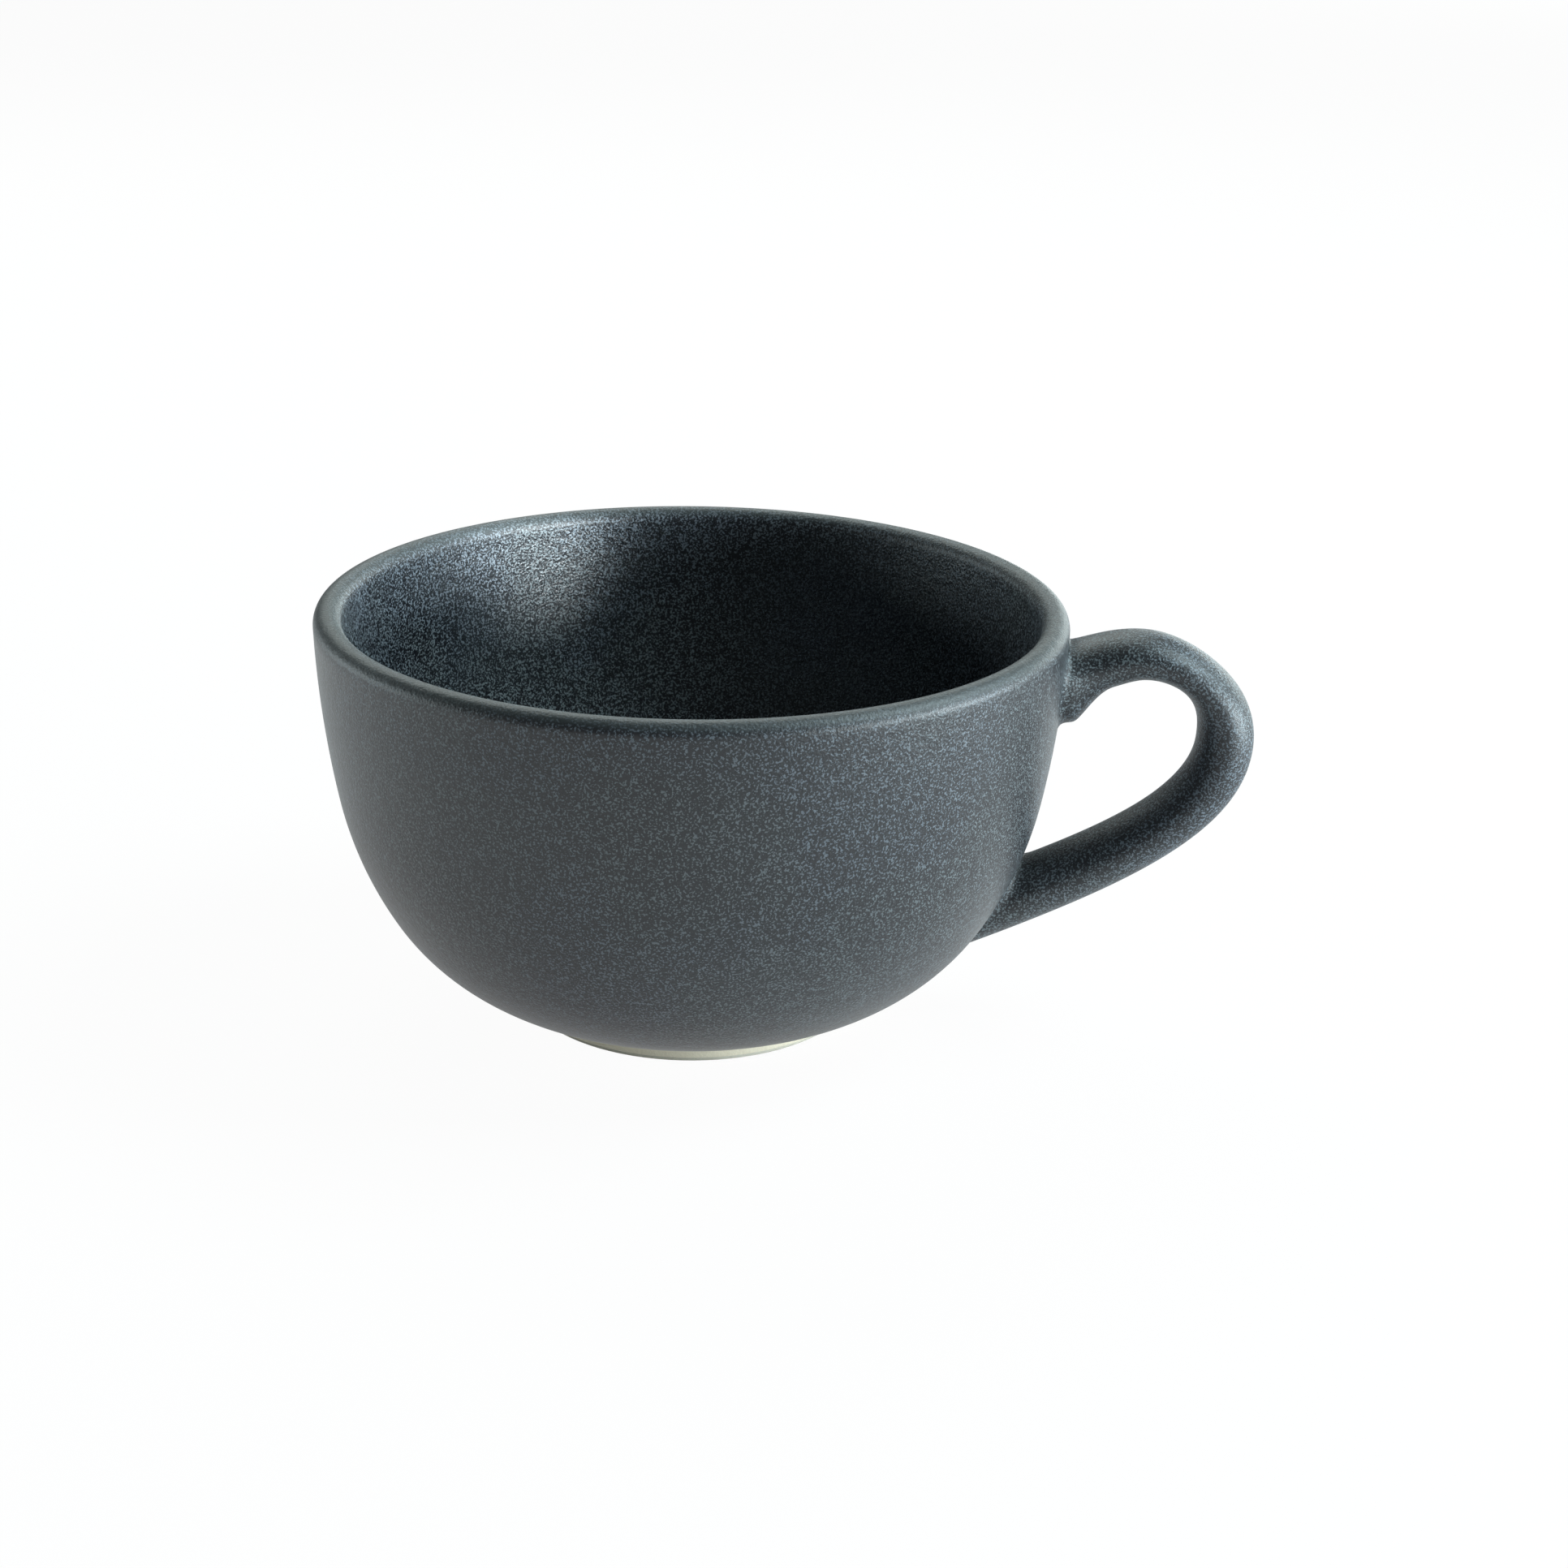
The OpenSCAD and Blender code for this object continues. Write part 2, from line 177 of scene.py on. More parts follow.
pen = arc_about(bm, pen, rim_c, -180, 12)
pen = inside_strokes(bm, pen, WALL_T - skin, FLOOR_Z - skin, -1)
pen = line_to(bm, pen, 0, FLOOR_Z - skin)
glazed_bowl = throw(bm, "glazed_bowl")

# %% [markdown]
# ## The coat in the recess
# A cup is turned over and its foot is hollowed, so that it stands on a narrow ring. The hollow is
# glazed too, and the ring between the two coats is wiped clean, or the cup would stick to the kiln.

# %% Glazed recess
recess_r = FOOT_R - FOOT_W
corner_c = Vector((recess_r - RECESS_CORNER, 0, RECESS_H - RECESS_CORNER))
bm, pen = start(0, RECESS_H)
pen = line_to(bm, pen, corner_c.x / 2, RECESS_H)
pen = line_to(bm, pen, corner_c.x, RECESS_H)
pen = arc_about(bm, pen, corner_c, 90, 12)
pen = line_to(bm, pen, recess_r, edge_z)
pen = arc_about(bm, pen, Vector((recess_r + skin / 2, 0, edge_z)), -180, 8)
pen = line_to(bm, pen, recess_r + skin, corner_c.z)
pen = arc_about(bm, pen, corner_c, -90, 8)
pen = line_to(bm, pen, 0, RECESS_H + skin)
glazed_recess = throw(bm, "glazed_recess", 192)

# %% [markdown]
# ## The handle's line
# The handle leaves the wall below the rim, climbs a little, rolls over in a tight bend and comes
# back low on the belly. Its centre line is three cubic curves that share their tangents where they
# meet. Blender can lay points on such a curve from its two ends and two control points. The section
# is an oval, thinnest in the bend under the top. Under the upper arm it spreads into a round heel,
# which is what the finger feels there, while the arm's top runs to the wall nearly straight.

# %% Centre line of the handle
HANDLE_W, HANDLE_T = 10.8, 7.7
THICKNESS_SHARES = (0.91, 0.92, 0.81, 0.73, 0.99, 1.0, 1.1)
ROOT_FLARE, ROOT_FLARE_RUN, FLARE_WIDTH_SHARE, TOE_SHARE = 4.1, 5.7, 0.7, 0.11
UPPER_ROOT_Z, LOWER_ROOT_Z, UPPER_RISE, LOWER_RISE = CUP_H - 7.5, 15.3, -8, -25


def wall_arc(p):
    """The arc of the wall that faces a point: its centre and radius, all in the cup's section."""
    flat = Vector((math.hypot(p.x, p.y), 0, p.z))
    for centre, radius, lean in ((upper_c, UPPER_R, MIDDLE_LEAN), (middle_c, MIDDLE_R, LOWER_LEAN)):
        if math.degrees(math.atan2(centre.z - flat.z, flat.x - centre.x)) < lean:
            return flat, centre, radius
    return flat, belly_c, belly_r


def gap_to_wall(p):
    flat, centre, radius = wall_arc(p)
    return (flat - centre).length - radius


def wall_normal(p):
    flat, centre, radius = wall_arc(p)
    n = (flat - centre).normalized()
    return Vector((n.x * p.x / flat.x, n.x * p.y / flat.x, n.z))


def wall_point(z):
    """The point of the glazed wall at that height, in the handle's plane."""
    p = Vector((RIM_R, 0, z))
    for step in range(8):
        p.x -= gap_to_wall(p) / wall_normal(p).x
    return p


def thickness(u):
    """A smooth curve through the shares: u is 0 at the upper root and 3 at the lower one."""
    s = min(max(u, 0), 3) * 2
    k = min(int(s), 5)
    t, a, b = s - k, THICKNESS_SHARES[k], THICKNESS_SHARES[k + 1]
    slope_a = (b - THICKNESS_SHARES[k - 1]) / 2 if k > 0 else b - a
    slope_b = (THICKNESS_SHARES[k + 2] - a) / 2 if k < 5 else b - a
    return HANDLE_T * (a + (b - a) * t * t * (3 - 2 * t) + t * (1 - t) * (slope_a * (1 - t) - slope_b * t))


def heel(place):
    """How much deeper the arm is at that place than without its heel."""
    t = min((place - upper_root).length / ROOT_FLARE_RUN, 1)
    return ROOT_FLARE * ((1 - TOE_SHARE) * (1 - t * t / TOE_SHARE) if t < TOE_SHARE else (1 - t) ** 2)


upper_root, lower_root = wall_point(UPPER_ROOT_Z), wall_point(LOWER_ROOT_Z)
peak = Vector((RIM_R + 10.0, 0, CUP_H - 1.9 - thickness(1) / 2))
reach = Vector((75.2 - thickness(2) / 2, 0, CUP_H - 16.1))
upper_way, lower_way = down(UPPER_RISE), down(LOWER_RISE)
out, rise = Vector((1, 0, 0)), Vector((0, 0, 1))
curves = (
    (upper_root, upper_root + 2.9 * upper_way, peak - 3.5 * out, peak, 40),
    (peak, peak + 4.6 * out, reach + 7.4 * rise, reach, 44),
    (reach, reach - 10.6 * rise, lower_root + 17.5 * lower_way, lower_root, 80),
)
stations = []
for i in range(14):
    run = 0.5 * HANDLE_T * (1 - i / 14)
    stations.append((upper_root - run * upper_way, 0, heel(upper_root)))
for part, (a, b, c, d, steps) in enumerate(curves):
    for i, place in enumerate(interpolate_bezier(a, b, c, d, steps + 1)[:-1]):
        stations.append((place, part + i / steps, heel(place)))
for i in range(35):
    stations.append((lower_root - 1.5 * HANDLE_T * i / 34 * lower_way, 3, 0))
print("stations:", len(stations), "upper root", upper_root, "lower root", lower_root)

# %% [markdown]
# ## Pulling the handle
# A ring of points is extruded from station to station and laid into each section, which is how a
# handle is pulled: one strip of clay, shaped as it grows. The ring is a true circle to start with,
# and a matrix squeezes it to the oval and turns it square to the line. The half towards the finger
# has a matrix of its own, because the heel makes it deeper there.

# %% Sweep the oval along the line
SIDES = 64


def section(i, inner):
    """Matrix that lays the unit circle's outer or inner half into the section at station i."""
    place, u, flare = stations[i]
    before, after = stations[max(i - 1, 0)][0], stations[min(i + 1, len(stations) - 1)][0]
    way = (after - before).normalized()
    side = Vector((-way.z, 0, way.x))
    across = thickness(u) / 2 + (flare if inner else 0)
    along = (HANDLE_W + flare * FLARE_WIDTH_SHARE) / 2
    return Matrix.Translation(place) @ Matrix((
        (side.x * across, 0, way.x, 0), (0, along, 0, 0), (side.z * across, 0, way.z, 0), (0, 0, 0, 1)))


bm = bmesh.new()
bmesh.ops.create_circle(bm, segments=SIDES, radius=1)
ring = bm.verts[:]
outwards = [v.co.x for v in ring]
halves = [[j for j in range(SIDES) if (outwards[j] < 0) == inner] for inner in (False, True)]
for inner, half in enumerate(halves):
    bmesh.ops.transform(bm, matrix=section(0, inner), verts=[ring[j] for j in half])
rings, edges = [ring], bm.edges[:]
for i in range(1, len(stations)):
    grown = bmesh.ops.extrude_edge_only(bm, edges=edges)["geom"]
    new = [g for g in grown if isinstance(g, bmesh.types.BMVert)]
    edges = [g for g in grown if isinstance(g, bmesh.types.BMEdge) and g.verts[0] in new and g.verts[1] in new]
    for inner, half in enumerate(halves):
        move = section(i, inner) @ section(i - 1, inner).inverted()
        bmesh.ops.transform(bm, matrix=move, verts=[new[j] for j in half])
    rings.append(new)
print("handle:", len(rings), "rings of", SIDES)

# %% [markdown]
# ## Fillets of slip at the roots
# The handle is stuck on with slip, and the slip that squeezes out is sponged to a small hollow fillet
# all round. The strip runs on inside the wall, so each of its lines crosses the wall somewhere. From
# that crossing, a fillet reaches back up the handle and out over the wall, and a curve between the
# two leaves both of them without a crease. The last rings of the strip are laid on these curves.

# %% Lay the last rings on the fillets
FILLET_R, OUTER_FILLET_R, FILLET_RINGS, RINGS_BEFORE = 1.4, 0.4, 10, 8
CAP_RINGS, CAP_DEPTH = 5, 0.8


def along_line(points, distance):
    """The point that far along a chain of points."""
    for a, b in zip(points, points[1:]):
        step = (b - a).length
        if distance <= step:
            return a.lerp(b, distance / step)
        distance -= step
    return points[-1]


def close_inside_wall(ring):
    """Close the strip's end with rings that shrink to a point and keep to the wall's curve, inside the clay."""
    edge_points = [Vector(v.co) for v in ring]
    centre = sum(edge_points, Vector()) / SIDES
    index = {v: j for j, v in enumerate(ring)}
    edges = list({e for v in ring for e in v.link_edges if e.other_vert(v) in index})
    for k in range(1, CAP_RINGS + 1):
        grown = bmesh.ops.extrude_edge_only(bm, edges=edges)["geom"]
        new = [g for g in grown if isinstance(g, bmesh.types.BMVert)]
        index = {v: next(index[e.other_vert(v)] for e in v.link_edges if e.other_vert(v) in index) for v in new}
        edges = [g for g in grown if isinstance(g, bmesh.types.BMEdge) and all(v in index for v in g.verts)]
        for v, j in index.items():
            place = edge_points[j].lerp(centre, k / CAP_RINGS)
            v.co = place - (gap_to_wall(place) + CAP_DEPTH) * wall_normal(place)
    bmesh.ops.remove_doubles(bm, verts=list(index), dist=0.01)


def settle_root(rings):
    """rings run towards the wall. The last ones are laid along each line and out over the wall."""
    widest = 0
    lines = [[Vector(r[j].co) for r in rings] for j in range(SIDES)]
    hits = [next(i for i, place in enumerate(line) if gap_to_wall(place) < 0) for line in lines]
    first = min(hits) - RINGS_BEFORE
    laid = rings[first + 1:]
    settling = len(laid) - FILLET_RINGS
    for j, (line, hit) in enumerate(zip(lines, hits)):
        ga, gb = gap_to_wall(line[hit - 1]), gap_to_wall(line[hit])
        corner = line[hit - 1].lerp(line[hit], ga / (ga - gb))
        wall = wall_normal(corner)
        line_way = (line[hit] - line[hit - 1]).normalized()
        ring_way = lines[(j + 1) % SIDES][hit] - lines[j - 1][hit]
        skin_way = ring_way.cross(line_way).normalized()
        centre = sum((l[hit] for l in lines), Vector()) / SIDES
        if skin_way.dot(corner - centre) < 0:
            skin_way.negate()
        angle = skin_way.angle(wall)
        fillet_r = FILLET_R + (OUTER_FILLET_R - FILLET_R) * max(outwards[j], 0)
        reach_out = fillet_r * min(math.tan(angle / 2), 1.6)
        widest = max(widest, reach_out)
        over_wall = (skin_way - skin_way.dot(wall) * wall).normalized()
        toe = corner + reach_out * over_wall
        toe -= (gap_to_wall(toe) + 0.012) * wall_normal(toe)
        free = line[first:hit] + [corner]
        length = sum((b - a).length for a, b in zip(free, free[1:]))
        heel_at = length - reach_out / max(-line_way.dot(wall), 0.6)
        heel = along_line(free, heel_at)
        for k, r in enumerate(laid):
            if k < settling:
                r[j].co = along_line(free, heel_at * (k + 1) / (settling + 1))
            else:
                t = (k - settling) / (FILLET_RINGS - 2)
                if t <= 1:
                    r[j].co = (1 - t) ** 2 * heel + 2 * t * (1 - t) * corner + t * t * toe
                else:
                    r[j].co = toe - 0.3 * wall_normal(toe)
    close_inside_wall(laid[-1])
    print("root: fillet reaches up to %.2f mm over the wall" % widest)


middle = len(rings) // 2
settle_root(rings[middle:])
settle_root(rings[middle::-1])
glazed_handle = finished(bm, "glazed_handle")

# %% [markdown]
# ## Who stands for whom
# Each new skin takes the place of the coat that it was made from. The clay under them stays as it
# came: it shows only on the standing ring, where the glaze is wiped off.

# %% Bind the skins to the model
for piece, replaced in ((glazed_bowl, ("inner_glaze", "outer_glaze")),
                        (glazed_recess, ("foot_glaze",)),
                        (glazed_handle, ("handle_glaze", "upper_slip_joint", "lower_slip_joint"))):
    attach(piece, "root")
    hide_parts(*replaced)
    print(piece.name, "stands for", replaced)


# %% [markdown]
# ## A small kit for shader nodes
# Node trees are easier to read when each node is one line. This helper makes a node, sets its values
# and links its inputs: a plain number sets a socket, and another node's socket is linked to it.

# %% Node helper
def node(tree, kind, _out=0, _props=None, **inputs):
    made = tree.nodes.new(kind)
    for key, value in (_props or {}).items():
        setattr(made, key, value)
    for key, value in inputs.items():
        socket = made.inputs[int(key[1:])] if key[0] == "i" and key[1:].isdigit() else made.inputs[key.replace("_", " ")]
        if isinstance(value, bpy.types.NodeSocket):
            tree.links.new(value, socket)
        else:
            socket.default_value = value
    return made.outputs[_out]


def maths(tree, operation, a, b=0.0, clamp=False):
    return node(tree, "ShaderNodeMath", 0, {"operation": operation, "use_clamp": clamp}, i0=a, i1=b)


def blend_colours(tree, factor, a, b):
    return node(tree, "ShaderNodeMix", 2, {"data_type": "RGBA"}, i0=factor, i6=a, i7=b)


def ramp_between(tree, value, low, high):
    """0 below low, 1 above high, and a smooth step between."""
    return node(tree, "ShaderNodeMapRange", 0, {"interpolation_type": "SMOOTHSTEP"},
                i0=value, i1=low, i2=high, i3=0.0, i4=1.0)


def new_group(name, inputs, outputs):
    group = bpy.data.node_groups.new(name, "ShaderNodeTree")
    for label, kind, value in inputs:
        socket = group.interface.new_socket(label, in_out="INPUT", socket_type=kind)
        if value is not None:
            socket.default_value = value
    for label, kind in outputs:
        group.interface.new_socket(label, in_out="OUTPUT", socket_type=kind)
    return group, group.nodes.new("NodeGroupInput").outputs, group.nodes.new("NodeGroupOutput").inputs


# %% [markdown]
# ## Sprayed speckle
# The glaze is sprayed on as a mist. Where droplets pile up they melt to pale blue-grey specks a
# quarter of a millimetre across, over a nearly black ground. A fine noise through a soft threshold
# makes specks of every shape, as close as salt and pepper. A slow noise moves the threshold a little,
# so that the mist is denser in some places than in others.

# %% Speckle group
FLOAT, COLOUR, VECTOR = "NodeSocketFloat", "NodeSocketColor", "NodeSocketVector"
speckle, gin, gout = new_group(
    "sprayed_speckle",
    [("Position", VECTOR, None), ("Speck size mm", FLOAT, 0.25), ("Threshold", FLOAT, 0.55), ("Softness", FLOAT, 0.1)],
    [("Specks", FLOAT), ("Mist", FLOAT)])
scale = maths(speckle, "DIVIDE", 1000.0, gin["Speck size mm"])
fine = node(speckle, "ShaderNodeTexNoise", 0, None, Vector=gin["Position"], Scale=scale, Detail=1.0, Roughness=0.6)
mist_scale = maths(speckle, "MULTIPLY", scale, 0.2)
mist = node(speckle, "ShaderNodeTexNoise", 0, None, Vector=gin["Position"], Scale=mist_scale, Detail=3.0, Roughness=0.6)
denser = maths(speckle, "MULTIPLY", maths(speckle, "SUBTRACT", mist, 0.5), 0.14)
moved = maths(speckle, "ADD", fine, denser)
low = maths(speckle, "SUBTRACT", gin["Threshold"], gin["Softness"])
high = maths(speckle, "ADD", gin["Threshold"], gin["Softness"])
speckle.links.new(ramp_between(speckle, moved, low, high), gout["Specks"])
speckle.links.new(mist, gout["Mist"])
print("speckle group:", len(speckle.nodes), "nodes")

# %% [markdown]
# ## Orange peel
# A satin glaze is not flat. It sets with a skin of tiny hills, like orange peel, that breaks up every
# highlight. The group gives a height for a Bump node: small hills of about half a millimetre, and
# lower, wider ones where the spray ran together.

# %% Orange peel group
peel, gin, gout = new_group(
    "orange_peel",
    [("Position", VECTOR, None), ("Hill size mm", FLOAT, 0.35)],
    [("Height", FLOAT)])
scale = maths(peel, "DIVIDE", 1000.0, gin["Hill size mm"])
hills = node(peel, "ShaderNodeTexNoise", 0, None, Vector=gin["Position"], Scale=scale, Detail=1.5, Roughness=0.5)
runs = node(peel, "ShaderNodeTexNoise", 0, None, Vector=gin["Position"],
            Scale=maths(peel, "MULTIPLY", scale, 0.22), Detail=1.0, Roughness=0.5)
height = maths(peel, "ADD", maths(peel, "MULTIPLY", hills, 0.7), maths(peel, "MULTIPLY", runs, 0.6))
peel.links.new(height, gout["Height"])
print("orange peel group:", len(peel.nodes), "nodes")

# %% [markdown]
# ## The glaze
# One recipe serves the bowl, the handle and the recess. Dark ground and pale specks make the body
# colour. The specks' pale is darker outside, on the handle and in the recess than inside, which is
# painted shade on one and the same glaze. On the crest of the rim the glaze runs thin and breaks to a
# smooth grey-green without specks. Down at the foot the colour fades to a warm clay tone. That is
# partly the glaze thinning out over the clay, and partly a painted reflection and bounce of the bright
# floor. Both are masks of height alone, because a cup is dipped, sprayed and fired standing upright.

# %% Glaze recipe
DARK = (0.004, 0.005, 0.008, 1)
PALE = (0.159, 0.187, 0.218, 1)
# The outside's and the handle's pale are the inside's pale made darker: painted shade. The recess uses the outside's.
PALE_WITH_PAINTED_SHADE_OUTSIDE = (0.086, 0.104, 0.124, 1)
PALE_WITH_PAINTED_SHADE_ON_HANDLE = (0.113, 0.138, 0.166, 1)
BREAK = (0.064, 0.079, 0.077, 1)
# The warm clay tone at the foot, brightened as painted reflection and bounce light of the white floor.
CLAY_AND_FLOOR_REFLECTION = (0.70, 0.63, 0.50, 1)


def glaze(name, pale, rough, bump_mm, grain_mm, threshold, softness, has_rim=False, has_foot_clay_and_floor_reflection=False, rim_rough=0.14):
    mat = bpy.data.materials.new(name)
    mat.use_nodes = True
    tree = mat.node_tree
    shader = tree.nodes["Principled BSDF"]
    where = node(tree, "ShaderNodeTexCoord", 3)
    height = node(tree, "ShaderNodeSeparateXYZ", 2, None, i0=where)
    specks_node = tree.nodes.new("ShaderNodeGroup")
    specks_node.node_tree = speckle
    tree.links.new(where, specks_node.inputs["Position"])
    specks_node.inputs["Speck size mm"].default_value = grain_mm
    specks_node.inputs["Threshold"].default_value = threshold
    specks_node.inputs["Softness"].default_value = softness
    specks, mist = specks_node.outputs["Specks"], specks_node.outputs["Mist"]
    if has_rim:
        crest = ramp_between(tree, height, (CUP_H - 1.3) * MM, (CUP_H - 0.4) * MM)
        specks = maths(tree, "MULTIPLY", specks, maths(tree, "SUBTRACT", 1.0, maths(tree, "MULTIPLY", crest, 0.4)))
    cloud = node(tree, "ShaderNodeTexNoise", 0, None, Vector=where, Scale=38.0, Detail=2.0, Roughness=0.5)
    greyer = (0.98 * pale[0], 0.97 * pale[1], 0.88 * pale[2], 1)
    tint = blend_colours(tree, ramp_between(tree, cloud, 0.42, 0.58), pale, greyer)
    colour = blend_colours(tree, specks, DARK, tint)
    if has_rim:
        colour = blend_colours(tree, maths(tree, "MULTIPLY", crest, 0.3), colour, BREAK)
    # From 7 mm down to 1.4 mm the colour fades to the warm clay tone. This is partly the glaze thinning over the clay
    # and partly painted reflection and bounce light of the bright floor.
    if has_foot_clay_and_floor_reflection:
        uneven = maths(tree, "MULTIPLY", maths(tree, "SUBTRACT", mist, 0.5), 1.6 * MM)
        fade = ramp_between(tree, maths(tree, "ADD", height, uneven), 7.0 * MM, 1.4 * MM)
        clay_and_floor_reflection_share = maths(tree, "MULTIPLY", fade, 0.92)
        colour = blend_colours(tree, clay_and_floor_reflection_share, colour, CLAY_AND_FLOOR_REFLECTION)
    tree.links.new(colour, shader.inputs["Base Color"])
    roughness = maths(tree, "ADD", rough, maths(tree, "MULTIPLY", specks, 0.05))
    if has_rim:
        edge = ramp_between(tree, height, (CUP_H - 3.0) * MM, (CUP_H - 0.6) * MM)
        roughness = maths(tree, "ADD", roughness, maths(tree, "MULTIPLY", edge, rim_rough))
    tree.links.new(roughness, shader.inputs["Roughness"])
    peel_node = tree.nodes.new("ShaderNodeGroup")
    peel_node.node_tree = peel
    tree.links.new(where, peel_node.inputs["Position"])
    bump = node(tree, "ShaderNodeBump", 0, None, Strength=1.0, Distance=bump_mm * MM, Height=peel_node.outputs["Height"])
    tree.links.new(bump, shader.inputs["Normal"])
    shader.inputs["IOR"].default_value = 1.6
    return mat


# The outside's foot fade is partly painted reflection of the bright floor.
# The outside, the handle and the recess get darker pale specks than the inside: painted shade on one glaze.
outer_glaze = glaze("satin_glaze_outside", PALE_WITH_PAINTED_SHADE_OUTSIDE, 0.38, 0.10, 0.28, 0.58, 0.04, has_rim=True, has_foot_clay_and_floor_reflection=True)
inner_glaze = glaze("satin_glaze_inside", PALE, 0.36, 0.13, 0.30, 0.55, 0.05, has_rim=True, rim_rough=0.16)
handle_glaze = glaze("satin_glaze_on_handle", PALE_WITH_PAINTED_SHADE_ON_HANDLE, 0.50, 0.10, 0.28, 0.56, 0.06)
recess_glaze = glaze("satin_glaze_in_recess", PALE_WITH_PAINTED_SHADE_OUTSIDE, 0.42, 0.09, 0.27, 0.575, 0.055)
for piece, mats in ((glazed_bowl, (outer_glaze, inner_glaze)), (glazed_handle, (handle_glaze,)), (glazed_recess, (recess_glaze,))):
    for mat in mats:
        piece.data.materials.append(mat)
for face in glazed_bowl.data.polygons:
    inward = face.normal.x * face.center.x + face.normal.y * face.center.y < 0
    on_floor = face.normal.z > 0.9 and face.center.z < 0.3 * CUP_H * MM
    face.material_index = int(on_floor or (inward and face.center.z > 0.1 * CUP_H * MM))
print("faces of the inside:", sum(face.material_index for face in glazed_bowl.data.polygons))
print("glazes mixed")

# %% [markdown]
# ## Bare clay
# The standing ring is the one place where the clay shows: pale, warm, matte and a little sandy, with
# fine dark grains of grog. The handle inside its glaze is the same clay, and nobody will ever see it.

# %% Clay
def clay(name):
    mat = bpy.data.materials.new(name)
    mat.use_nodes = True
    tree = mat.node_tree
    shader = tree.nodes["Principled BSDF"]
    where = node(tree, "ShaderNodeTexCoord", 3)
    grain = node(tree, "ShaderNodeTexNoise", 0, None, Vector=where, Scale=1400.0, Detail=3.0, Roughness=0.6)
    cloud = node(tree, "ShaderNodeTexNoise", 0, None, Vector=where, Scale=120.0, Detail=3.0, Roughness=0.5)
    tone = blend_colours(tree, cloud, (0.43, 0.40, 0.33, 1), (0.56, 0.53, 0.46, 1))
    grog = ramp_between(tree, grain, 0.66, 0.74)
    tree.links.new(blend_colours(tree, grog, tone, (0.16, 0.13, 0.10, 1)), shader.inputs["Base Color"])
    tree.links.new(maths(tree, "ADD", 0.72, maths(tree, "MULTIPLY", grain, 0.2)), shader.inputs["Roughness"])
    bump = node(tree, "ShaderNodeBump", 0, None, Strength=1.0, Distance=0.04 * MM, Height=grain)
    tree.links.new(bump, shader.inputs["Normal"])
    return mat


bare_clay = clay("bare_stoneware")
for name in ("bowl", "handle", "upper_slip_joint", "lower_slip_joint"):
    nodes[name].data.materials.clear()
    nodes[name].data.materials.append(bare_clay)

# %% [markdown]
# ## The studio
# The photograph shows the cup on seamless white. The floor is plain and pale, and keeps the cup's
# shadow. What the camera sees of it, and what the glaze reflects of it, is lifted to white by Light
# Path, so that no more light falls on the cup for it.

# %% Floor and world
bm = bmesh.new()
bmesh.ops.create_circle(bm, cap_ends=True, segments=96, radius=5)
bmesh.ops.translate(bm, vec=(0, 0, -0.00005), verts=bm.verts)
floor_mesh = bpy.data.meshes.new("floor")
bm.to_mesh(floor_mesh)
bm.free()
floor = bpy.data.objects.new("floor", floor_mesh)
bpy.context.scene.collection.objects.link(floor)


def seen_or_mirrored(tree, seen, mirrored):
    """The share for what the camera sees directly, and the share for what a gloss or glass shows of it."""
    rays = tree.nodes.new("ShaderNodeLightPath").outputs
    bounced = maths(tree, "MAXIMUM", rays["Is Glossy Ray"], rays["Is Transmission Ray"])
    return maths(tree, "MAXIMUM", maths(tree, "MULTIPLY", rays["Is Camera Ray"], seen), maths(tree, "MULTIPLY", bounced, mirrored))


paper = bpy.data.materials.new("white_paper")
paper.use_nodes = True
tree = paper.node_tree
tree.nodes.remove(tree.nodes["Principled BSDF"])
matte = node(tree, "ShaderNodeBsdfDiffuse", 0, None, Color=(0.85, 0.85, 0.85, 1))
shine = node(tree, "ShaderNodeEmission", 0, None, Color=(1, 1, 1, 1), Strength=1.0)
share = seen_or_mirrored(tree, 0.96, 0.58)
mixed = node(tree, "ShaderNodeMixShader", 0, None, i0=share, i1=matte, i2=shine)
tree.links.new(mixed, tree.nodes["Material Output"].inputs["Surface"])
floor_mesh.materials.append(paper)

world = bpy.data.worlds.new("studio")
bpy.context.scene.world = world
world.use_nodes = True
tree = world.node_tree
backdrop = tree.nodes["Background"]
backdrop.inputs["Color"].default_value = (1, 1, 1, 1)
rays = tree.nodes.new("ShaderNodeLightPath").outputs
tree.links.new(maths(tree, "ADD", 0.02, maths(tree, "MULTIPLY", rays["Is Camera Ray"], 0.98)), backdrop.inputs["Strength"])
print("floor and world are up")

# %% [markdown]
# ## Lights
# The highlights say where the lamps were. The inside shines at the back on the left and is nearly
# black on the right, so a window stands high on the right. The right of the wall and the handle's
# outer bend shine too, so a low, bright screen stands on the table on that side. Both edges of the
# cup and the handle's top gleam in the light of a white set behind it. Nothing stands on the
# camera's side, which is why the middle of the wall stays dark.

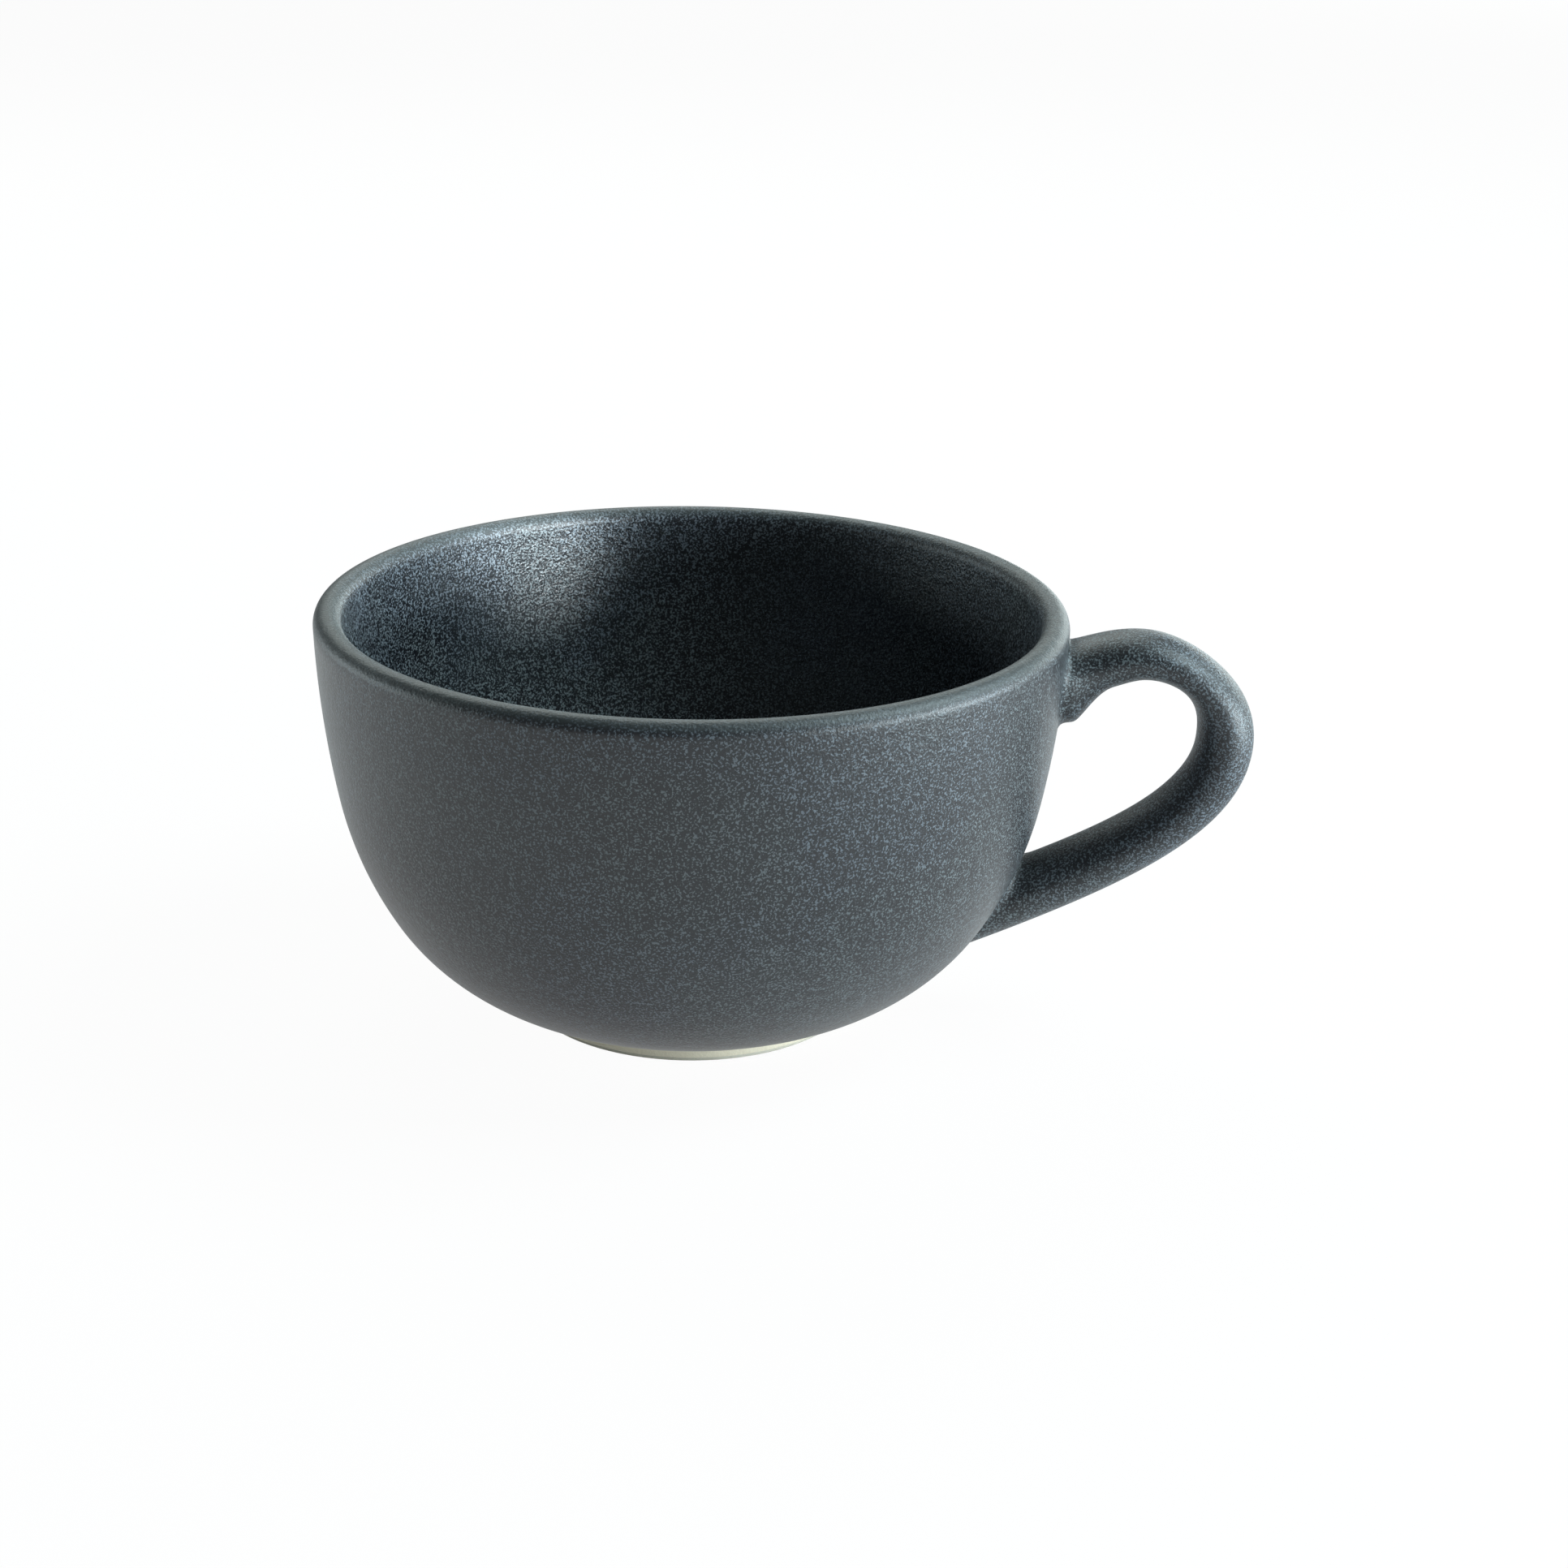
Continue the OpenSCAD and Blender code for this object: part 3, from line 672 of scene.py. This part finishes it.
# %% Lamps
def soft_box(name, azimuth, elevation, distance, width, height, watts, colour=(1, 1, 1), aim=(0, 0, 0.03)):
    """A soft area lamp. Azimuth is measured from +X, anticlockwise seen from above."""
    lamp = bpy.data.lights.new(name, "AREA")
    lamp.shape = "RECTANGLE"
    lamp.size, lamp.size_y, lamp.energy, lamp.color = width, height, watts, colour
    stand = bpy.data.objects.new(name, lamp)
    a, e = math.radians(azimuth), math.radians(elevation)
    way = Vector((math.cos(a) * math.cos(e), math.sin(a) * math.cos(e), math.sin(e)))
    stand.location = Vector(aim) + distance * way
    stand.rotation_euler = (-way).to_track_quat("-Z", "Y").to_euler()
    bpy.context.scene.collection.objects.link(stand)
    stand.visible_camera = False
    return stand


soft_box("window", 8, 48, 1.0, 0.50, 0.50, 9.8, (0.78, 0.96, 1.0))
soft_box("low_screen", -3, 4.5, 1.0, 0.46, 0.16, 12.2, (0.80, 0.94, 1.0))
soft_box("low_front", -32, 4.5, 1.0, 0.34, 0.15, 4.4, (0.85, 0.97, 1.0))
soft_box("left_strip", 172, 6, 1.0, 0.90, 0.20, 3.8, (0.84, 0.98, 1.0))
soft_box("back_strip", 62, 6, 2.6, 2.08, 0.52, 28, (0.90, 1.0, 0.98))
soft_box("back_middle", 105, 42, 1.0, 0.80, 0.60, 5.6, (0.91, 1.0, 0.97))

beam = bpy.data.lights.new("low_beam", "SPOT")
beam.energy, beam.color, beam.shadow_soft_size = 85, (0.88, 0.97, 1.0), 0.006
beam.spot_size, beam.spot_blend = math.radians(1.8), 1.0
stand = bpy.data.objects.new("low_beam", beam)
a, e = math.radians(-40), math.radians(14)
way = Vector((math.cos(a) * math.cos(e), math.sin(a) * math.cos(e), math.sin(e)))
stand.location = Vector((-0.0285, 0.0365, 0.0560)) + way
stand.rotation_euler = (-way).to_track_quat("-Z", "Y").to_euler()
bpy.context.scene.collection.objects.link(stand)

# %% [markdown]
# ## Camera
# The view was found by fitting a camera to the rim's ellipse, the foot and the wall's outline: 21
# degrees above the table, a third of a metre from the cup, with the handle turned a little towards
# the camera.

# %% Camera
camera = bpy.data.cameras.new("camera")
camera.sensor_width = 36
camera.lens = 60.904
camera.clip_start = 0.01
view = bpy.data.objects.new("camera", camera)
view.location = (0.035402, -0.336825, 0.159347)
view.rotation_euler = [math.radians(a) for a in (69.2083, -1.0885, 4.2917)]
bpy.context.scene.collection.objects.link(view)
bpy.context.scene.camera = view
bpy.context.scene.view_settings.view_transform = "Standard"
print("camera at", tuple(view.location))

# %% Update the scene
bpy.context.view_layer.update()
